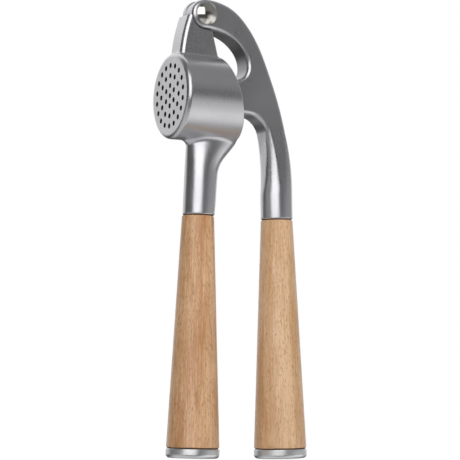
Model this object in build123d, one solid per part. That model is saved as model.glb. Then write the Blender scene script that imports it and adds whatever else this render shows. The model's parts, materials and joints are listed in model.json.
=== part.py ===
from build123d import *
import os
from math import asin, atan2, cos, hypot, radians, sin, tan

os.makedirs("parts", exist_ok=True)

# A garlic press with two wooden handles, standing on its end caps.
# Millimetres. X runs in the plane of motion, Y along the pivot pin, Z up the hopper lever's handle.
# While it is drawn, X = 0 is the hopper handle's axis and Z = 0 the table; centring comes last.

# Hopper
hopper_rise = 51.0
hopper_radius = 18.75
hopper_wall = 3.0
sieve_x = -14.9
sieve_thickness = 2.5
mouth_x = 11.0
mouth_tilt = 14.9
rim_round = 2.1
mouth_round = 0.8

# Sieve holes: one in the middle and rings of 6, 12 and 18
hole_rings = 3
ring_pitch = 4.4
hole_diameter = 2.3

# Pivot
pivot_x = -0.9
pivot_rise = 36.5
cheek_radius = 6.6
shoulder_gap = 0.6
shoulder_fall = 7.0
tongue_radius = 6.2
tongue_thickness = 4.8
slot_side_gap = 0.1
pivot_pin_diameter = 5.0
running_fit = 0.05
pin_head_radius = 4.8
pin_head_rim = 0.8
pin_head_rise = 1.9
pivot_nut_radius = 4.4
pivot_nut_height = 1.8

# Castings
lever_thickness = 12.0
edge_round = 1.8
neck_base_x = -12.8
neck_top_x = -9.2
neck_top_drop = 1.0
neck_bow = 0.75
neck_round = 2.2
neck_edge = 0.6
neck_inset = 1.1
stem_x = 0.27
stem_radius = 7.05
stem_left_lean = 1.2
stem_right_lean = 3.0
stem_end_round = 0.5
stem_steps = 9
flare_start_drop = 34.0
flare_radius = 15.0
flare_angle = 40.0
stem_blend = 2.6
neck_blend = 1.2

# Plunger lever
arch_rise = 15.3
arch_reach = 20.8
notch_radius = 5.6
web_bottom_drop = 6.0
web_bottom_x = 21.5
shank_top_drop = 13.0
shank_top_width = 9.35
shank_top_x = 34.87
shank_round_drop = 40.0
shank_radius = 7.05
shank_sweep = 2.2
shank_steps = 3

# Plunger; the angles are between the closed press, the pose as drawn and the plunger's own swing
closing_angle = 5.0
swivel_ratio = -0.1
plunger_side_gap = 1.35
plunger_disc = 4.5
plunger_face_round = 0.5
plunger_back_chamfer = 2.0
plunger_closed_gap = 1.4
plunger_pin_diameter = 4.0
web_end_radius = 5.0
web_end_gap = 1.0
lug_thickness = 3.0
lug_side_gap = 0.1

# Handles, measured up each handle's own axis from the bottom of its cap
handle_lean = 2.33
lever_foot_x = 42.9
cap_height = 4.1
cap_radius = 11.6
cap_round = 1.7
cap_top_round = 0.4
seal_thickness = 0.4
seal_inset = 0.5
wood_length = 100.1
wood_top_radius = 7.0
wood_bottom_radius = 11.5
wood_round = 0.5
stud_diameter = 6.0
stud_bore_gap = 0.1
stud_in_stem = 14.0
cap_spigot_radius = 5.5
cap_spigot_length = 9.0

bore_radius = hopper_radius - hopper_wall
plunger_radius = bore_radius - plunger_side_gap
plunger_pin_drop = pivot_rise
floor_x = sieve_x + sieve_thickness
wood_bottom = cap_height + seal_thickness
wood_top = wood_bottom + wood_length
stem_end = wood_top + seal_thickness
hopper_axis_z = stem_end + hopper_rise
pivot_z = hopper_axis_z + pivot_rise
half_lever = lever_thickness / 2
mouth_slope = tan(radians(mouth_tilt))
stud_bottom = cap_height - 1.0
stud_top = stem_end + stud_in_stem


def mouth_at(z):
    """X of the slanted mouth plane at a height."""
    return mouth_x - (z - hopper_axis_z) * mouth_slope


def upright(outline, depth):
    """Plate with an outline in X and Z, centred on the plane of motion."""
    return extrude(Plane.XZ * make_face(outline), amount=depth / 2, both=True)


def cross_cylinder(x, z, radius, y_from, y_to):
    """Cylinder along Y between two Y values."""
    middle = (y_from + y_to) / 2
    return Pos(x, middle, z) * Rot(90, 0, 0) * Cylinder(radius, y_to - y_from)


# Hopper lever: cup, neck with its tongue, and stem in one casting
def beyond_mouth():
    """All the room on the open side of the mouth plane."""
    return Pos(mouth_x, 0, hopper_axis_z) * Rot(0, -mouth_tilt, 0) * Pos(40, 0, 0) * Box(80, 80, 120)


def hopper_drum():
    """The cup before its bore and its slanted mouth are cut."""
    length = mouth_at(hopper_axis_z - hopper_radius) + 8 - sieve_x
    drum = Pos(sieve_x + length / 2, 0, hopper_axis_z) * Rot(0, 90, 0) * Cylinder(hopper_radius, length)
    return fillet(drum.faces().sort_by(Axis.X)[0].edges(), rim_round)


def neck():
    base_z = hopper_axis_z + bore_radius
    shoulder_radius = cheek_radius + shoulder_gap
    left_base = (neck_base_x, base_z)
    left_top = (neck_top_x, pivot_z - neck_top_drop)
    left_middle = ((left_base[0] + left_top[0]) / 2 - neck_bow, (left_base[1] + left_top[1]) / 2)
    right_top_z = pivot_z - tongue_radius / 2
    right_top = (mouth_at(right_top_z) - neck_inset, right_top_z)
    right_base = (mouth_at(base_z) - neck_inset, base_z)
    outline = [
        ThreePointArc(left_base, left_middle, left_top),
        Polyline(left_top, (pivot_x, left_top[1]), right_top, right_base, left_base),
    ]
    blank = upright(outline, lever_thickness)
    blank = fillet(plate_edges(blank, left_middle), neck_round)
    right_middle = ((right_base[0] + right_top[0]) / 2, (right_base[1] + right_top[1]) / 2)
    blank = fillet(plate_edges(blank, right_middle), neck_edge)
    room = Pos(pivot_x, 0, pivot_z) * Rot(90, 0, 0) * Cylinder(shoulder_radius, 2 * lever_thickness)
    falling = Pos(10, 0, 0) * Box(20, 2 * lever_thickness, 2 * shoulder_radius)
    room += Pos(pivot_x, 0, pivot_z) * Rot(0, shoulder_fall, 0) * falling
    tongue_slab = Pos(pivot_x, 0, pivot_z) * Box(60, tongue_thickness, 60)
    tongue = cross_cylinder(pivot_x, pivot_z, tongue_radius, -tongue_thickness / 2, tongue_thickness / 2)
    return blank - (room - tongue_slab) + tongue


def plate_edges(blank, point):
    """The near and far edge of a neck blank that pass through a point of its outline."""
    near = Vertex(point[0], -half_lever, point[1])
    far = Vertex(point[0], half_lever, point[1])
    return blank.edges().filter_by(lambda edge: min(edge.distance_to(near), edge.distance_to(far)) < 0.01)


def hopper_stem():
    """Round stem that leans a little and flares towards the mouth, lofted through ellipses."""
    lean = radians(stem_right_lean)
    bend = radians(flare_angle)
    start_z = hopper_axis_z - flare_start_drop
    top_z = hopper_axis_z - hopper_radius + hopper_wall * 0.8
    flare_x = stem_x + stem_radius + (start_z - stem_end) * tan(lean)
    turn_x = flare_x + flare_radius * (cos(lean) - cos(bend))
    turn_z = start_z + flare_radius * (sin(bend) - sin(lean))

    def left_at(z):
        return stem_x - stem_radius + (z - stem_end) * tan(radians(stem_left_lean))

    def right_at(z):
        if z <= start_z:
            return flare_x - (start_z - z) * tan(lean)
        if z >= turn_z:
            return turn_x + (z - turn_z) * tan(bend)
        return flare_x + flare_radius * (cos(lean) - cos(asin(sin(lean) + (z - start_z) / flare_radius)))

    sections = []
    for step in range(stem_steps + 1):
        z = stem_end + (top_z - stem_end) * step / stem_steps
        half_width = (right_at(z) - left_at(z)) / 2
        sections.append(Pos(left_at(z) + half_width, 0, z) * Ellipse(half_width, stem_radius))
    stem = loft(sections)
    return fillet(stem.faces().sort_by(Axis.Z)[0].edges(), stem_end_round)


def sieve_holes():
    through = Rot(0, 90, 0) * Cylinder(hole_diameter / 2, 4 * sieve_thickness)
    spots = [Location((0, 0, 0))]
    for ring in range(1, hole_rings + 1):
        count = 6 * ring
        for step in range(count):
            turn = radians(360 * step / count)
            spots.append(Location((0, ring * ring_pitch * sin(turn), ring * ring_pitch * cos(turn))))
    return [Pos(sieve_x, 0, hopper_axis_z) * spot * through for spot in spots]


def hopper_lever():
    drum = hopper_drum()
    stem = hopper_stem()
    body = drum + stem
    body = fillet(new_edges(drum, stem, combined=body), stem_blend)
    body -= beyond_mouth()
    mouth = body.faces().filter_by(GeomType.PLANE).sort_by(Axis.X)[-1]
    cup = fillet(mouth.edges(), mouth_round)
    web = neck()
    body = cup + web
    body = fillet(new_edges(cup, web, combined=body), neck_blend)
    bore_length = 60.0
    bore = Pos(floor_x + bore_length / 2, 0, hopper_axis_z) * Rot(0, 90, 0) * Cylinder(bore_radius, bore_length)
    body -= bore
    body -= sieve_holes()
    body -= cross_cylinder(
        pivot_x, pivot_z, pivot_pin_diameter / 2 + running_fit, -lever_thickness, lever_thickness
    )
    body -= Pos(0, 0, (stem_end + stud_top) / 2) * Cylinder(stud_diameter / 2, stud_in_stem)
    return body


# Plunger lever: fork, arch, web and shank in one casting
def turned(point, angle):
    """A point in X and Z turned about the pivot; a positive angle opens the press."""
    x = point[0] - pivot_x
    z = point[1] - pivot_z
    turn = radians(angle)
    return (pivot_x + x * cos(turn) - z * sin(turn), pivot_z + x * sin(turn) + z * cos(turn))


plunger_length = web_end_radius + web_end_gap + plunger_disc
pin_closed = (floor_x + plunger_closed_gap + plunger_length, pivot_z - plunger_pin_drop)
pin_x, pin_z = turned(pin_closed, closing_angle)
plunger_tilt = closing_angle * (1 + swivel_ratio)


def on_lever_axis(along):
    """A point on the lean axis of the plunger lever's handle."""
    lean = radians(handle_lean)
    flat = cap_radius - cap_round
    foot_z = flat * sin(lean) + cap_round * (1 - cos(lean))
    return (lever_foot_x - along * sin(lean), foot_z + along * cos(lean))


def lever_plate():
    notch_z = pivot_z - cheek_radius - arch_rise
    notch_x = pivot_x + arch_reach - notch_radius
    shank_z = hopper_axis_z - shank_top_drop
    inner = (shank_top_x - shank_top_width / 2, shank_z)
    outer = (shank_top_x + shank_top_width / 2, shank_z)
    pivot_top = (pivot_x, pivot_z + cheek_radius)
    pivot_bottom = (pivot_x, pivot_z - cheek_radius)

    # The web's top edge touches the round end about the plunger pin from above and the notch from below
    to_notch = hypot(notch_x - pin_x, notch_z - pin_z)
    top_turn = atan2(notch_z - pin_z, notch_x - pin_x) - asin((web_end_radius + notch_radius) / to_notch)
    top_start = (pin_x - web_end_radius * sin(top_turn), pin_z + web_end_radius * cos(top_turn))
    top_end = (notch_x + notch_radius * sin(top_turn), notch_z - notch_radius * cos(top_turn))
    notch_turn = (top_turn - radians(90)) / 2
    notch_middle = (notch_x + notch_radius * cos(notch_turn), notch_z + notch_radius * sin(notch_turn))

    # Its bottom edge leaves the round end towards the bend above the shank
    bend = (web_bottom_x, hopper_axis_z - web_bottom_drop)
    to_bend = hypot(bend[0] - pin_x, bend[1] - pin_z)
    low_turn = atan2(bend[1] - pin_z, bend[0] - pin_x) + asin(web_end_radius / to_bend)
    low_start = (pin_x + web_end_radius * sin(low_turn), pin_z - web_end_radius * cos(low_turn))

    back = Spline(
        pivot_top,
        (pivot_x + 8.5, pivot_z + 5.2),
        (pivot_x + 13.4, pivot_z + 3.0),
        (pivot_x + 19.0, pivot_z - 1.7),
        (pivot_x + 26.2, pivot_z - 11.7),
        (pivot_x + 31.0, pivot_z - 21.9),
        (pivot_x + 36.1, pivot_z - 34.8),
        outer,
    )
    outline = [
        back,
        Line(outer, inner),
        TangentArc(bend, inner, tangent=(cos(low_turn), sin(low_turn))),
        Line(bend, low_start),
        ThreePointArc(low_start, (pin_x - web_end_radius, pin_z), top_start),
        Line(top_start, top_end),
        ThreePointArc(top_end, notch_middle, (notch_x + notch_radius, notch_z)),
        EllipticalCenterArc((pivot_x, notch_z), arch_reach, arch_rise, start_angle=0, arc_size=90),
        ThreePointArc(pivot_bottom, (pivot_x - cheek_radius, pivot_z), pivot_top),
    ]
    plate = upright(outline, lever_thickness)
    sides = plate.edges().filter_by(lambda edge: abs(abs(edge.center().Y) - half_lever) < 0.01)
    sides = sides.filter_by(lambda edge: edge.center().Z > shank_z + 0.1)
    return fillet(sides, edge_round)


def lever_shank(plate):
    """Blends the plate's flat lower end into the round end above the handle, in even steps."""
    lean = radians(handle_lean)
    top_z = hopper_axis_z - shank_top_drop
    round_z = hopper_axis_z - shank_round_drop
    round_x = on_lever_axis((round_z - on_lever_axis(0)[1]) / cos(lean))[0]
    round_corner = shank_radius - 0.1
    sections = [plate.faces().sort_by(Axis.Z)[0]]
    for step in range(1, shank_steps + 1):
        share = step / shank_steps
        width = shank_top_width + (2 * shank_radius - shank_top_width) * share
        depth = lever_thickness + (2 * shank_radius - lever_thickness) * share
        corner = edge_round + (round_corner - edge_round) * share
        x = round_x - (round_x - shank_top_x) * (1 - share) ** shank_sweep
        z = top_z + (round_z - top_z) * share
        place = Pos(x, 0, z) * Rot(0, -handle_lean * share, 0)
        sections.append(place * RectangleRounded(width, depth, corner))
    round_from = (round_z - on_lever_axis(0)[1]) / cos(lean)
    round_end = RectangleRounded(2 * shank_radius, 2 * shank_radius, round_corner)
    straight = extrude(Pos(0, 0, stem_end) * round_end, amount=round_from - stem_end)
    straight = fillet(straight.faces().sort_by(Axis.Z)[0].edges(), stem_end_round)
    return loft(sections) + up_lever(straight)


def plunger_lever():
    plate = lever_plate()
    body = plate + lever_shank(plate)
    slot = tongue_thickness + 2 * slot_side_gap
    slot_radius = tongue_radius + shoulder_gap
    body -= cross_cylinder(pivot_x, pivot_z, slot_radius, -slot / 2, slot / 2)
    neck_room = mouth_at(pivot_z - cheek_radius) + 2.0 - (pivot_x - cheek_radius - 1)
    body -= Pos(pivot_x - cheek_radius - 1 + neck_room / 2, 0, pivot_z - 5) * Box(neck_room, slot, 10)
    body -= cross_cylinder(pivot_x, pivot_z, pivot_pin_diameter / 2, -lever_thickness, lever_thickness)
    pin_bore = plunger_pin_diameter / 2 + running_fit
    body -= cross_cylinder(pin_x, pin_z, pin_bore, -lever_thickness, lever_thickness)
    body -= up_lever(Pos(0, 0, stem_end + stud_in_stem / 2) * Cylinder(stud_diameter / 2, stud_in_stem))
    return body


# Pivot pin with a low domed head on the near side, held by a low nut on the far side
def pivot_pin():
    far = half_lever + pivot_nut_height * 0.6
    shaft = cross_cylinder(pivot_x, pivot_z, pivot_pin_diameter / 2, -half_lever - pin_head_rim / 2, far)
    top = -half_lever - pin_head_rim - pin_head_rise
    head = cross_cylinder(pivot_x, pivot_z, pin_head_radius, top, -half_lever)
    dome_radius = (pin_head_radius ** 2 + pin_head_rise ** 2) / (2 * pin_head_rise)
    dome = Pos(pivot_x, top + dome_radius, pivot_z) * Sphere(dome_radius)
    return shaft + (head & dome)


def pivot_nut():
    disc = cross_cylinder(pivot_x, pivot_z, pivot_nut_radius, half_lever, half_lever + pivot_nut_height)
    disc = fillet(disc.edges().sort_by(Axis.Y)[-1], pivot_nut_height * 0.6)
    return disc - pivot_pin()


# Plunger, drawn along its own axis with the pin at the origin and the face towards -X
def plunger():
    face = -plunger_length
    disc = Pos(face + plunger_disc / 2, 0, 0) * Rot(0, 90, 0) * Cylinder(plunger_radius, plunger_disc)
    disc = fillet(disc.faces().sort_by(Axis.X)[0].edges(), plunger_face_round)
    disc = chamfer(disc.faces().sort_by(Axis.X)[-1].edges(), plunger_back_chamfer)
    lug_y = half_lever + lug_side_gap + lug_thickness / 2
    lug_length = plunger_length - plunger_disc
    lug = Pos(-lug_length / 2, 0, 0) * Box(lug_length, lug_thickness, 2 * web_end_radius)
    lug += cross_cylinder(0, 0, web_end_radius, -lug_thickness / 2, lug_thickness / 2)
    body = disc + Pos(0, lug_y, 0) * lug + Pos(0, -lug_y, 0) * lug
    body -= cross_cylinder(0, 0, plunger_pin_diameter / 2, -plunger_radius, plunger_radius)
    return on_plunger(body)


def plunger_pin():
    reach = half_lever + lug_side_gap + lug_thickness
    pin = cross_cylinder(0, 0, plunger_pin_diameter / 2, -reach, reach)
    return on_plunger(chamfer(pin.edges().filter_by(GeomType.CIRCLE), 0.3))


def on_plunger(solid):
    """From the plunger's own axis to its place in the hopper."""
    return Pos(pin_x, 0, pin_z) * Rot(0, -plunger_tilt, 0) * solid


# Handle pieces, drawn up Z from the bottom of the cap, the same for both levers
def end_cap():
    disc = Pos(0, 0, cap_height / 2) * Cylinder(cap_radius, cap_height)
    disc = fillet(disc.edges().sort_by(Axis.Z)[0], cap_round)
    disc = fillet(disc.edges().sort_by(Axis.Z)[-1], cap_top_round)
    spigot = Pos(0, 0, cap_height + cap_spigot_length / 2) * Cylinder(cap_spigot_radius, cap_spigot_length)
    bore_length = cap_height + cap_spigot_length - stud_bottom
    return disc + spigot - Pos(0, 0, stud_bottom + bore_length / 2) * Cylinder(stud_diameter / 2, bore_length)


def wood_grip():
    grip = Pos(0, 0, wood_bottom + wood_length / 2) * Cone(wood_bottom_radius, wood_top_radius, wood_length)
    grip = fillet(grip.edges().filter_by(GeomType.CIRCLE), wood_round)
    grip -= Pos(0, 0, wood_bottom + wood_length / 2) * Cylinder(stud_diameter / 2 + stud_bore_gap, wood_length)
    socket = cap_spigot_length
    return grip - Pos(0, 0, wood_bottom + socket / 2) * Cylinder(cap_spigot_radius + stud_bore_gap, socket)


def stud():
    return Pos(0, 0, (stud_bottom + stud_top) / 2) * Cylinder(stud_diameter / 2, stud_top - stud_bottom)


def seal(bottom, outer, inner):
    ring = Cylinder(outer, seal_thickness) - Cylinder(inner, seal_thickness)
    return Pos(0, 0, bottom + seal_thickness / 2) * ring


def top_seal():
    return seal(wood_top, wood_top_radius - seal_inset, stud_diameter / 2 + stud_bore_gap)


def bottom_seal():
    return seal(cap_height, wood_bottom_radius - seal_inset, cap_spigot_radius + stud_bore_gap)


def up_lever(solid):
    """From an upright handle to the lean handle of the plunger lever."""
    x, z = on_lever_axis(0)
    return Pos(x, 0, z) * Rot(0, -handle_lean, 0) * solid


parts = {
    "hopper_lever": hopper_lever(),
    "plunger_lever": plunger_lever(),
    "pivot_pin": pivot_pin(),
    "pivot_nut": pivot_nut(),
    "plunger": plunger(),
    "plunger_pin": plunger_pin(),
}
handle_pieces = {
    "handle": wood_grip(),
    "end_cap": end_cap(),
    "stud": stud(),
    "top_seal": top_seal(),
    "bottom_seal": bottom_seal(),
}
for piece, solid in handle_pieces.items():
    parts[f"hopper_{piece}"] = solid
    parts[f"lever_{piece}"] = up_lever(solid)

# Centre the whole press over the origin, standing on the table
whole = Compound(children=[Part(solid.wrapped) for solid in parts.values()]).bounding_box()
centring = Pos(-whole.center().X, 0, 0)
for name, solid in parts.items():
    export_step(centring * solid, f"parts/{name}.step")
    print(name, len(solid.solids()), round(solid.volume), solid.bounding_box())

print("whole", whole)
print("pivot", pivot_x - whole.center().X, pivot_z, "plunger pin", pin_x - whole.center().X, pin_z)
print("shift", -whole.center().X)
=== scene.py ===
import json
from math import atan2, cos, hypot, radians, sin

import bmesh
import bpy
from mathutils import Euler, Matrix, Vector


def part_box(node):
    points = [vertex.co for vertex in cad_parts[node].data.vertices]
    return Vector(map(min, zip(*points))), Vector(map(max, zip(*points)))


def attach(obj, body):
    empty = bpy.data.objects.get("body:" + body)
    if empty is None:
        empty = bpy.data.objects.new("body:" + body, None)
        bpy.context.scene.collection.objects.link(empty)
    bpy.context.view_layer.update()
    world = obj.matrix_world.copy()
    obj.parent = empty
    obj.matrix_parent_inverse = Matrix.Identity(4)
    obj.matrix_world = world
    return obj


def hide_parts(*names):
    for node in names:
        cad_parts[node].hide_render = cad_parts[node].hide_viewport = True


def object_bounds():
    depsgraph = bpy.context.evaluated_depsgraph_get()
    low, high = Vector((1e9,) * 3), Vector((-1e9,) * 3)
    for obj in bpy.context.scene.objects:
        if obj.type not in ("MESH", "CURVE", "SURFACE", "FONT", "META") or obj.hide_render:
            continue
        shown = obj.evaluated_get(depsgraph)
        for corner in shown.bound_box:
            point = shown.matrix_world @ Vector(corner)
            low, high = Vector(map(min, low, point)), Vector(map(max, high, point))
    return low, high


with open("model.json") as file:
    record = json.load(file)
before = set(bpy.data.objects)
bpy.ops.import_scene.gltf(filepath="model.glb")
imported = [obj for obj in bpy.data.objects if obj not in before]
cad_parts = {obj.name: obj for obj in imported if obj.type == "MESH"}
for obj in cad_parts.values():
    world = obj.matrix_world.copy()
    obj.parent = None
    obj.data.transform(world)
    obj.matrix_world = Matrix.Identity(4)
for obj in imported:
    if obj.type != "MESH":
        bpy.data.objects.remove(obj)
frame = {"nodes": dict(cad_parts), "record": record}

cad_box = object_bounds()
nodes = frame["nodes"]
bodies = frame["record"]["behaviour"]["bodies"]
slots = {piece["node"]: piece["material_slot"] for piece in frame["record"]["subparts"]}

# Camera, as the photograph was taken: low, from the left, with a long lens
image_pixels = 460
focal_pixels = 2200
sensor_width = 36.0
camera_azimuth = radians(-26.73)
camera_elevation = radians(-4.58)
camera_roll = radians(1.27)
camera_distance = 0.9615
camera_target = Vector((-0.00408, 0.0, 0.09939))
camera_reach = 50.0

# Metals: colours are linear, and a roughness runs from the smoothest places to the roughest
casting_colour = (0.60, 0.60, 0.62, 1.0)
casting_roughness = (0.25, 0.33)
casting_metal = 0.93
# Caps: the casting's metal made lighter, painted light for the bright floor beside them
cap_painted_light_colour = (0.74, 0.74, 0.75, 1.0)
cap_roughness = (0.32, 0.40)
# Sieve's hole walls: near black, painted shade inside the holes
hole_painted_shade_colour = (0.10, 0.10, 0.10, 1.0)
hole_painted_shade_roughness = (0.45, 0.60)
# Arch's inner wall: the casting's metal made darker, painted shade on the wall turned from the light
arch_painted_shade_colour = (0.36, 0.36, 0.37, 1.0)
arch_painted_shade_roughness = (0.28, 0.36)
polish_colour = (0.62, 0.60, 0.56, 1.0)
polish_roughness = (0.05, 0.11)
stud_colour = (0.45, 0.45, 0.45, 1.0)
stud_roughness = (0.35, 0.50)

# Seals: matt and nearly black
seal_colour = (0.030, 0.020, 0.014, 1.0)
seal_roughness = (0.75, 0.95)

# Patterns in the metals and the seals, with scales per metre, and how strongly they raise the surface
casting_grain = {"scale": 3200}
casting_grain_bump = 0.004
casting_brushing = {"scale": 2600, "stretch": (1, 1, 0.08)}
casting_brushing_share = 0.15
casting_mould = {"scale": 55}
casting_uneven = (0.35, 0.80)
polish_smears = {"scale": 900, "detail": 3.0}
polish_smear_bump = 0.03
stud_turning = {"scale": 3000, "stretch": (0.05, 0.05, 1)}
stud_turning_bump = 0.1
seal_grain = {"scale": 2500}
seal_grain_bump = 0.2

# Between these two values lies most of a noise, and this deep are the fine patterns, in metres
noise_middle = (0.3, 0.7)
fine_depth = 0.0001

# Wood: two beeches, the hopper's redder, each with its grain cut from another place, by an offset in metres
red_beech = {
    "pale": (0.690, 0.435, 0.250, 1.0),
    "deep": (0.460, 0.225, 0.092, 1.0),
    "fleck": (0.300, 0.140, 0.060, 1.0),
    "offset": 0.31,
}
pale_beech = {
    "pale": (0.715, 0.480, 0.296, 1.0),
    "deep": (0.540, 0.310, 0.145, 1.0),
    "fleck": (0.360, 0.190, 0.090, 1.0),
    "offset": 0.77,
}
wood_bands = {"scale": 190, "stretch": (1, 1, 0.05), "detail": 3.0, "distortion": 0.5}
wood_band_share = 0.8
wood_fibres = {"scale": 1500, "stretch": (1, 1, 0.045), "detail": 4.0, "roughness": 0.75}
wood_clouds = {"scale": 75, "stretch": (1, 1, 0.35)}
wood_cloud_share = 0.6
wood_tones = (1.04, 1.37)
wood_flecks = {"scale": 2500, "stretch": (1, 1, 0.22), "detail": 1.0, "distortion": 0.3}
fleck_spread = (0.55, 0.72)
fleck_strength = 0.75
fleck_sink = -0.8
wood_roughness = (0.30, 0.40)
wood_shine = 0.65
wood_bump = 0.16
wood_depth = 0.0002

# Smoothing: edges sharper than this angle stay crisp, and corners closer than this distance are one
sharp_edge = radians(28)
merge_distance = 1e-7

# Sieve's holes: how far they lie from the cup's end face and its middle, and how far their painted-shade
# walls may lean
end_face_depth = 1e-5
sieve_depth = 0.0026
sieve_reach = 0.0150
hole_wall_lean = 0.5

# Lever's arch, whose wall gets painted shade: how far below the lever's top it reaches, and which way its
# wall may face
arch_reach = 0.042
arch_wall_lean = 0.35
arch_wall_turn = -0.05

# Studio that lights the press and shows in its metal, in four layers from overhead to underneath.
# Each is a list of bearings, in degrees from straight in front of the press, and brightnesses.
overhead_bands = [
    (-180, 1.10),
    (-150, 1.10),
    (-138, 0.10),
    (-60, 0.10),
    (0, 0.22),
    (40, 0.26),
    (75, 0.24),
    (100, 0.28),
    (118, 1.20),
    (180, 1.20),
]
room_bands = [
    (-180, 0.95),
    (-150, 0.95),
    (-138, 0.04),
    (-60, 0.04),
    (20, 0.06),
    (45, 0.22),
    (75, 0.33),
    (100, 0.33),
    (118, 1.05),
    (180, 1.00),
]
table_bands = [
    (-180, 0.05),
    (-145, 0.05),
    (-112, 0.55),
    (-75, 0.55),
    (-50, 0.10),
    (8, 0.10),
    (42, 1.15),
    (86, 1.15),
    (112, 0.10),
    (180, 0.05),
]
underneath_bands = [
    (-180, 0.66),
    (-45, 0.66),
    (8, 0.50),
    (24, 1.10),
    (48, 1.10),
    (66, 0.42),
    (84, 0.34),
    (180, 0.40),
]

# Where one layer gives way to the next, as the height of a direction of length 1
overhead_edge = (0.20, 0.45)
table_edge = (-0.24, 0.05)
underneath_edge = (-0.66, -0.46)

# Softbox in front of the press and to its left, by bearing in degrees and by height
softbox_brightness = 1.95
softbox_span = (-66, -9)
softbox_heights = (-0.06, 0.76)
softbox_blur = 5
softbox_end_blur = 0.04

# Lamp that lights the wood and the floor, with directions as the camera's are
lamp_azimuth = radians(5)
lamp_elevation = radians(30)
lamp_distance = 1.2
lamp_size = 0.7
lamp_watts = 5.5

# Floor: mostly a plain white to the camera, with a share of its lit surface for the shadow
floor_size = 40.0
floor_colour = (0.80, 0.80, 0.80, 1.0)
floor_roughness = 0.9
floor_whitening = 0.86
floor_glow = 1.085
white = (1.0, 1.0, 1.0, 1.0)


# Shader building blocks
def new_finish(name):
    finish = bpy.data.materials.new(name)
    finish.use_nodes = True
    return finish, finish.node_tree, finish.node_tree.nodes["Principled BSDF"]


def add(tree, kind, **settings):
    made = tree.nodes.new(kind)
    for setting, value in settings.items():
        setattr(made, setting, value)
    return made


def set_inputs(made, **values):
    for name, value in values.items():
        made.inputs[name.replace("_", " ")].default_value = value
    return made


def grey(level):
    return (level, level, level, 1.0)


def on_piece(tree, place, stretch):
    """Object coordinates, moved to a handle's own axis where one is given, then stretched."""
    coordinates = add(tree, "ShaderNodeTexCoord").outputs["Object"]
    if place is not None:
        settle = set_inputs(add(tree, "ShaderNodeMapping"), Location=place["shift"], Rotation=place["turn"])
        tree.links.new(coordinates, settle.inputs["Vector"])
        coordinates = settle.outputs["Vector"]
    pull = set_inputs(add(tree, "ShaderNodeMapping"), Scale=stretch)
    tree.links.new(coordinates, pull.inputs["Vector"])
    return pull.outputs["Vector"]


def noise(tree, pattern, place=None):
    """Noise from a pattern: its scale, and a stretch, detail, roughness or distortion where it has one."""
    texture = add(tree, "ShaderNodeTexNoise")
    set_inputs(
        texture,
        Scale=pattern["scale"],
        Detail=pattern.get("detail", 2.0),
        Roughness=pattern.get("roughness", 0.5),
        Distortion=pattern.get("distortion", 0.0),
    )
    where = on_piece(tree, place, pattern.get("stretch", (1, 1, 1)))
    tree.links.new(where, texture.inputs["Vector"])
    return texture.outputs["Fac"]


def ramp(tree, value, low, high, to_low=0.0, to_high=1.0):
    """Takes a value between low and high to a value between to_low and to_high."""
    change = add(tree, "ShaderNodeMapRange")
    set_inputs(change, From_Min=low, From_Max=high, To_Min=to_low, To_Max=to_high)
    tree.links.new(value, change.inputs["Value"])
    return change.outputs["Result"]


def blend(tree, share, first, second):
    """Mixes two colours, each a socket or a plain colour; inputs 6 and 7 are a Mix node's colour pair."""
    mix = add(tree, "ShaderNodeMix", data_type="RGBA")
    tree.links.new(share, mix.inputs["Factor"])
    for socket, colour in ((mix.inputs[6], first), (mix.inputs[7], second)):
        if isinstance(colour, tuple):
            socket.default_value = colour
        else:
            tree.links.new(colour, socket)
    return mix.outputs[2]


def sum_of(tree, first, second, share):
    """first plus a share of second."""
    total = add(tree, "ShaderNodeMath", operation="MULTIPLY_ADD")
    tree.links.new(second, total.inputs[0])
    total.inputs[1].default_value = share
    tree.links.new(first, total.inputs[2])
    return total.outputs[0]


def product(tree, first, second):
    result = add(tree, "ShaderNodeMath", operation="MULTIPLY")
    for socket, factor in zip(result.inputs, (first, second)):
        if isinstance(factor, float):
            socket.default_value = factor
        else:
            tree.links.new(factor, socket)
    return result.outputs[0]


def vary_roughness(tree, shader, value, spread, roughness):
    tree.links.new(ramp(tree, value, *spread, *roughness), shader.inputs["Roughness"])


def raise_surface(tree, shader, height, strength, depth=fine_depth):
    bump = set_inputs(add(tree, "ShaderNodeBump"), Strength=strength, Distance=depth)
    tree.links.new(height, bump.inputs["Height"])
    tree.links.new(bump.outputs["Normal"], shader.inputs["Normal"])


# Finishes
def satin_metal(name, colour, roughness):
    """Satin casting: fine blasted grain, faint brushing and slow unevenness from the mould."""
    finish, tree, shader = new_finish(name)
    set_inputs(shader, Base_Color=colour, Metallic=casting_metal)
    grain = noise(tree, casting_grain)
    brushing = noise(tree, casting_brushing)
    uneven = sum_of(tree, noise(tree, casting_mould), brushing, casting_brushing_share)
    vary_roughness(tree, shader, uneven, casting_uneven, roughness)
    raise_surface(tree, shader, grain, casting_grain_bump)
    return finish


def polished_steel():
    finish, tree, shader = new_finish("polished_steel")
    set_inputs(shader, Base_Color=polish_colour, Metallic=1.0)
    smears = noise(tree, polish_smears)
    vary_roughness(tree, shader, smears, noise_middle, polish_roughness)
    raise_surface(tree, shader, smears, polish_smear_bump)
    return finish


def plain_steel():
    """Turned rod with fine rings round it."""
    finish, tree, shader = new_finish("plain_steel")
    set_inputs(shader, Base_Color=stud_colour, Metallic=1.0)
    turning = noise(tree, stud_turning)
    vary_roughness(tree, shader, turning, noise_middle, stud_roughness)
    raise_surface(tree, shader, turning, stud_turning_bump)
    return finish


def dark_seal():
    finish, tree, shader = new_finish("dark_seal")
    set_inputs(shader, Base_Color=seal_colour)
    matt = noise(tree, seal_grain)
    vary_roughness(tree, shader, matt, noise_middle, seal_roughness)
    raise_surface(tree, shader, matt, seal_grain_bump)
    return finish


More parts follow.
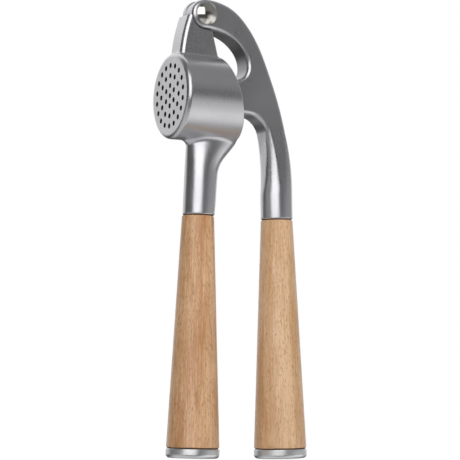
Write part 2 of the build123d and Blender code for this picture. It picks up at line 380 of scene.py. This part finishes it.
def handle_place(side, offset):
    """Puts a pattern on a handle's axis, from the middle of its bottom seal to the middle of its top seal."""
    ends = []
    for seal in ("bottom_seal", "top_seal"):
        low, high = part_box(f"{side}_{seal}")
        ends.append((Vector(low) + Vector(high)) / 2)
    run = ends[1] - ends[0]
    turn = Euler((0.0, -atan2(run.x, run.z), 0.0))
    shift = Vector((offset, offset, 0)) - turn.to_matrix() @ ends[0]
    return {"turn": turn, "shift": shift}


def beech(name, side, wood):
    """Straight-grained oiled beech: slow colour bands, fine fibres and short dark flecks along the handle."""
    finish, tree, shader = new_finish(name)
    place = handle_place(side, wood["offset"])
    fibres = noise(tree, wood_fibres, place)
    flecks = noise(tree, wood_flecks, place)
    tone = sum_of(tree, fibres, noise(tree, wood_bands, place), wood_band_share)
    tone = sum_of(tree, tone, noise(tree, wood_clouds, place), wood_cloud_share)
    colour = blend(tree, ramp(tree, tone, *wood_tones), wood["pale"], wood["deep"])
    fleck_share = ramp(tree, flecks, *fleck_spread, 0.0, fleck_strength)
    colour = blend(tree, fleck_share, colour, wood["fleck"])
    tree.links.new(colour, shader.inputs["Base Color"])
    vary_roughness(tree, shader, fibres, noise_middle, wood_roughness)
    set_inputs(shader, Specular_IOR_Level=wood_shine)
    raise_surface(tree, shader, sum_of(tree, fibres, flecks, fleck_sink), wood_bump, wood_depth)
    return finish


finishes = {
    "cast_metal": satin_metal("cast_metal", casting_colour, casting_roughness),
    "polished_steel": polished_steel(),
    "plain_steel": plain_steel(),
    "dark_seal": dark_seal(),
    "beech_dark": beech("beech_dark", "hopper", red_beech),
    "beech_light": beech("beech_light", "lever", pale_beech),
}
# Caps: a lighter copy of the casting metal, painted light
cap_painted_light_metal = satin_metal("cap_painted_light_metal", cap_painted_light_colour, cap_roughness)
# Sieve's hole walls: a near-black copy of the casting metal, painted shade
hole_painted_shade_metal = satin_metal("hole_painted_shade_metal", hole_painted_shade_colour, hole_painted_shade_roughness)
# Arch's inner wall: a darker copy of the casting metal, painted shade
arch_painted_shade_metal = satin_metal("arch_painted_shade_metal", arch_painted_shade_colour, arch_painted_shade_roughness)


# Pieces: each one is the solid's own shape with its curved faces smoothed
def hole_walls(shape):
    """Walls of the sieve's holes, which lie just inside the cup's flat end and get painted shade."""
    end = min(corner.co.x for corner in shape.verts)
    heights = [corner.co.z for corner in shape.verts if corner.co.x < end + end_face_depth]
    middle = (min(heights) + max(heights)) / 2
    walls = []
    for face in shape.faces:
        place = face.calc_center_median()
        in_sieve = hypot(place.y, place.z - middle) < sieve_reach and place.x < end + sieve_depth
        if in_sieve and abs(face.normal.x) < hole_wall_lean:
            walls.append(face)
    return walls


def arch_walls(shape):
    """Wall of the lever's arch, which lies past the pivot pin, looks back towards the cup and gets painted
    shade.
    """
    top = max(corner.co.z for corner in shape.verts)
    pin_left, pin_right = (corner[0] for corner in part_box("pivot_pin"))
    walls = []
    for face in shape.faces:
        place = face.calc_center_median()
        in_arch = place.x > (pin_left + pin_right) / 2 and place.z > top - arch_reach
        if in_arch and abs(face.normal.y) < arch_wall_lean and face.normal.x < arch_wall_turn:
            walls.append(face)
    return walls


# Darker copies of the casting metal as painted shade, each with the faces that get it
painted_shade_finishes = {
    "hopper_lever": (hole_painted_shade_metal, hole_walls),
    "plunger_lever": (arch_painted_shade_metal, arch_walls),
}


def smoothed(node, body):
    mesh = nodes[node].data.copy()
    shape = bmesh.new()
    shape.from_mesh(mesh)
    bmesh.ops.remove_doubles(shape, verts=shape.verts, dist=merge_distance)
    for face in shape.faces:
        face.smooth = True
    for edge in shape.edges:
        edge.smooth = edge.calc_face_angle(0.0) < sharp_edge
    mesh.materials.clear()
    # Caps take the lighter copy of the casting metal, which is painted light
    mesh.materials.append(cap_painted_light_metal if node.endswith("end_cap") else finishes[slots[node]])
    if node in painted_shade_finishes:
        finish, walls = painted_shade_finishes[node]
        mesh.materials.append(finish)
        for face in walls(shape):
            face.material_index = 1
    shape.to_mesh(mesh)
    shape.free()
    piece = bpy.data.objects.new(f"{node}_finished", mesh)
    bpy.context.scene.collection.objects.link(piece)
    weighting = piece.modifiers.new("flat faces stay flat", "WEIGHTED_NORMAL")
    weighting.keep_sharp = True
    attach(piece, body)
    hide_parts(node)


for body, members in bodies.items():
    for node in members:
        smoothed(node, body)


# Floor, studio, lamp and camera
def white_floor():
    finish, tree, shader = new_finish("pale_floor")
    set_inputs(shader, Base_Color=floor_colour, Roughness=floor_roughness, Specular_IOR_Level=0.0)
    glow = set_inputs(add(tree, "ShaderNodeEmission"), Color=white, Strength=floor_glow)
    seen = add(tree, "ShaderNodeLightPath").outputs["Is Camera Ray"]
    mix = add(tree, "ShaderNodeMixShader")
    tree.links.new(product(tree, seen, floor_whitening), mix.inputs["Fac"])
    tree.links.new(shader.outputs["BSDF"], mix.inputs[1])
    tree.links.new(glow.outputs["Emission"], mix.inputs[2])
    tree.links.new(mix.outputs["Shader"], tree.nodes["Material Output"].inputs["Surface"])
    return finish


def lay_floor():
    """Floor under the caps; the metal mirrors the studio's table instead of it."""
    shape = bmesh.new()
    bmesh.ops.create_grid(shape, x_segments=1, y_segments=1, size=floor_size / 2)
    bmesh.ops.translate(shape, verts=shape.verts, vec=(0.0, 0.0, cad_box[0].z))
    mesh = bpy.data.meshes.new("floor")
    shape.to_mesh(mesh)
    shape.free()
    mesh.materials.append(white_floor())
    floor = bpy.data.objects.new("floor", mesh)
    bpy.context.scene.collection.objects.link(floor)
    floor.visible_glossy = False


def light_bands(tree, bearing, levels):
    """Brightness by bearing, from a list of angles and levels."""
    bands = add(tree, "ShaderNodeValToRGB")
    stops = bands.color_ramp.elements
    while len(stops) < len(levels):
        stops.new(0.5)
    brightest = max(level for angle, level in levels)
    for stop, (angle, level) in zip(stops, levels):
        stop.position = (angle + 180) / 360
        stop.color = grey(level / brightest)
    round_room = ramp(tree, bearing, radians(-180), radians(180))
    tree.links.new(round_room, bands.inputs["Fac"])
    lifted = add(tree, "ShaderNodeMix", data_type="RGBA", blend_type="MULTIPLY")
    lifted.inputs["Factor"].default_value = 1.0
    lifted.inputs[7].default_value = grey(brightest)
    tree.links.new(bands.outputs["Color"], lifted.inputs[6])
    return lifted.outputs[2]


def softbox_share(tree, bearing, height):
    """1 inside the softbox and 0 outside it, with soft edges."""
    left, right = (radians(angle) for angle in softbox_span)
    low, high = softbox_heights
    blur = radians(softbox_blur)
    past_left = ramp(tree, bearing, left - blur, left + blur)
    before_right = ramp(tree, bearing, right + blur, right - blur)
    above_low = ramp(tree, height, low - softbox_end_blur, low + softbox_end_blur)
    below_high = ramp(tree, height, high + softbox_end_blur, high - softbox_end_blur)
    return product(tree, product(tree, past_left, before_right), product(tree, above_low, below_high))


def studio_world():
    """White to the camera; for the press, a dark room with a white backdrop, a softbox and a bright table."""
    world = bpy.data.worlds.new("studio")
    world.use_nodes = True
    bpy.context.scene.world = world
    tree = world.node_tree
    direction = add(tree, "ShaderNodeSeparateXYZ")
    tree.links.new(add(tree, "ShaderNodeTexCoord").outputs["Generated"], direction.inputs[0])
    turn = add(tree, "ShaderNodeMath", operation="ARCTAN2")
    tree.links.new(direction.outputs["X"], turn.inputs[0])
    tree.links.new(product(tree, direction.outputs["Y"], -1.0), turn.inputs[1])
    bearing = turn.outputs[0]
    height = direction.outputs["Z"]

    underneath = light_bands(tree, bearing, underneath_bands)
    table = light_bands(tree, bearing, table_bands)
    room = light_bands(tree, bearing, room_bands)
    overhead = light_bands(tree, bearing, overhead_bands)
    lower = blend(tree, ramp(tree, height, *underneath_edge), underneath, table)
    upper = blend(tree, ramp(tree, height, *overhead_edge), room, overhead)
    studio = blend(tree, ramp(tree, height, *table_edge), lower, upper)
    studio = blend(tree, softbox_share(tree, bearing, height), studio, grey(softbox_brightness))
    seen = add(tree, "ShaderNodeLightPath").outputs["Is Camera Ray"]
    tree.links.new(blend(tree, seen, studio, white), tree.nodes["Background"].inputs["Color"])


def bearing_vector(azimuth, elevation):
    return Vector((sin(azimuth) * cos(elevation), -cos(azimuth) * cos(elevation), sin(elevation)))


def facing(place, back, roll=0.0):
    """Matrix of a lamp or camera at a place, looking against back."""
    right = Vector((0.0, 0.0, 1.0)).cross(back).normalized()
    up = back.cross(right)
    turned_right = right * cos(roll) + up * sin(roll)
    turned_up = up * cos(roll) - right * sin(roll)
    turn = Matrix((turned_right, turned_up, back)).transposed()
    return Matrix.Translation(place) @ turn.to_4x4()


def hang_lamp():
    """A square lamp facing the middle of the press; the metal mirrors the studio's softbox instead of it."""
    lamp = bpy.data.lights.new("softbox", "AREA")
    lamp.size = lamp_size
    lamp.energy = lamp_watts
    holder = bpy.data.objects.new("softbox", lamp)
    back = bearing_vector(lamp_azimuth, lamp_elevation)
    holder.matrix_world = facing(camera_target + back * lamp_distance, back)
    holder.visible_glossy = False
    bpy.context.scene.collection.objects.link(holder)


def take_camera():
    lens = bpy.data.cameras.new("camera")
    lens.sensor_width = sensor_width
    lens.lens = focal_pixels / image_pixels * sensor_width
    lens.clip_end = camera_reach
    camera = bpy.data.objects.new("camera", lens)
    back = bearing_vector(camera_azimuth, camera_elevation)
    camera.matrix_world = facing(camera_target + back * camera_distance, back, camera_roll)
    bpy.context.scene.collection.objects.link(camera)
    bpy.context.scene.camera = camera


lay_floor()
studio_world()
hang_lamp()
take_camera()
bpy.context.scene.view_settings.view_transform = "Standard"
